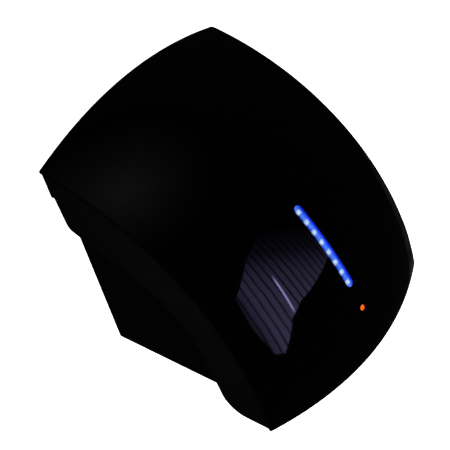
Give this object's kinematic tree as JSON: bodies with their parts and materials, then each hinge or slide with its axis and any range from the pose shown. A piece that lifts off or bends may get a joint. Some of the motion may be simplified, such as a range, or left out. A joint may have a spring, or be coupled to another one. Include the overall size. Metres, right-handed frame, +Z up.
{
  "type": "hand dryer",
  "caption": "Wall-mounted automatic warm-air hand dryer: crowned gloss black front with a blue light bar, satin sides, outlet under the front edge.",
  "frame": {"origin": "middle of the mounting face of the wall plate, in the plane of the wall", "axes": "+Z up, +Y into the wall, so the front faces -Y; +X to the right seen from the front"},
  "size_m": [0.24, 0.2329, 0.2566],
  "materials": {
    "gloss_black": "mirror gloss",
    "satin_black": "satin",
    "matte_black": "matt",
    "blue_lens": "translucent, lit",
    "amber_lens": "translucent, lit",
    "smoked_lens": "smoked translucent",
    "steel": "brushed",
    "zinc": "bright zinc",
    "aluminium": "satin",
    "lamination": "satin",
    "copper": "enamelled copper",
    "brass": "bright",
    "carbon": "matt",
    "nichrome": "satin",
    "mica": "pressed mica",
    "rubber": "matt",
    "nylon": "matt",
    "white_plastic": "matt",
    "grey_plastic": "matt",
    "board_green": "solder mask",
    "film_yellow": "gloss",
    "relay_blue": "satin",
    "wire_red": "gloss"
  },
  "bodies": {
    "base": {"wall_plate": "steel", "rear_housing": "matte_black", "housing_screw_1": "zinc", "housing_screw_2": "zinc", "housing_screw_3": "zinc", "housing_screw_4": "zinc", "intake_filter": "grey_plastic", "cable_gland": "rubber", "scroll_left": "grey_plastic", "scroll_right": "grey_plastic", "motor_bracket": "steel", "rubber_mount_1": "rubber", "rubber_mount_2": "rubber", "bracket_screw_1": "zinc", "bracket_screw_2": "zinc", "motor_housing": "steel", "stator_core": "lamination", "field_coil_1": "copper", "field_coil_2": "copper", "brush_holder_1": "brass", "brush_holder_2": "brass", "carbon_brush_1": "carbon", "carbon_brush_2": "carbon", "bearing_1": "steel", "bearing_2": "steel", "air_duct": "grey_plastic", "mica_frame_1": "mica", "mica_frame_2": "mica", "heater_coil": "nichrome", "thermal_cutout": "aluminium", "control_board": "board_green", "transformer": "copper", "relay": "relay_blue", "film_capacitor": "film_yellow", "smoothing_capacitor": "carbon", "triac_heatsink": "aluminium", "terminal_block": "nylon", "mains_wires": "wire_red", "motor_wires": "wire_red", "switch_body": "grey_plastic"},
    "rotor": {"impeller": "white_plastic", "motor_shaft": "steel", "armature": "lamination", "commutator": "copper"},
    "rocker": {"switch_rocker": "grey_plastic"},
    "cover": {"front_cover": "satin_black", "glossy_panel": "gloss_black", "light_bar": "blue_lens", "led_board": "board_green", "led_screw_1": "zinc", "led_screw_2": "zinc", "indicator_lens": "amber_lens", "outlet_grille": "satin_black", "sensor_window": "smoked_lens", "sensor_board": "board_green", "cover_screw_1": "zinc", "cover_screw_2": "zinc", "cover_nut_1": "zinc", "cover_nut_2": "zinc"}
  },
  "joints": [
    {"name": "impeller_spin", "type": "hinge", "parent": "base", "child": "rotor", "pos_m": [0, -0.084, 0.01], "axis": [1, 0, 0], "continuous": true},
    {"name": "rocker_press", "type": "hinge", "parent": "base", "child": "rocker", "pos_m": [-0.072, -0.062, -0.113], "axis": [0, -1, 0], "range_deg": [0, 24]},
    {"name": "cover_slide", "type": "slide", "parent": "base", "child": "cover", "axis": [0, -1, 0], "range_m": [0, 0.22]}
  ]
}
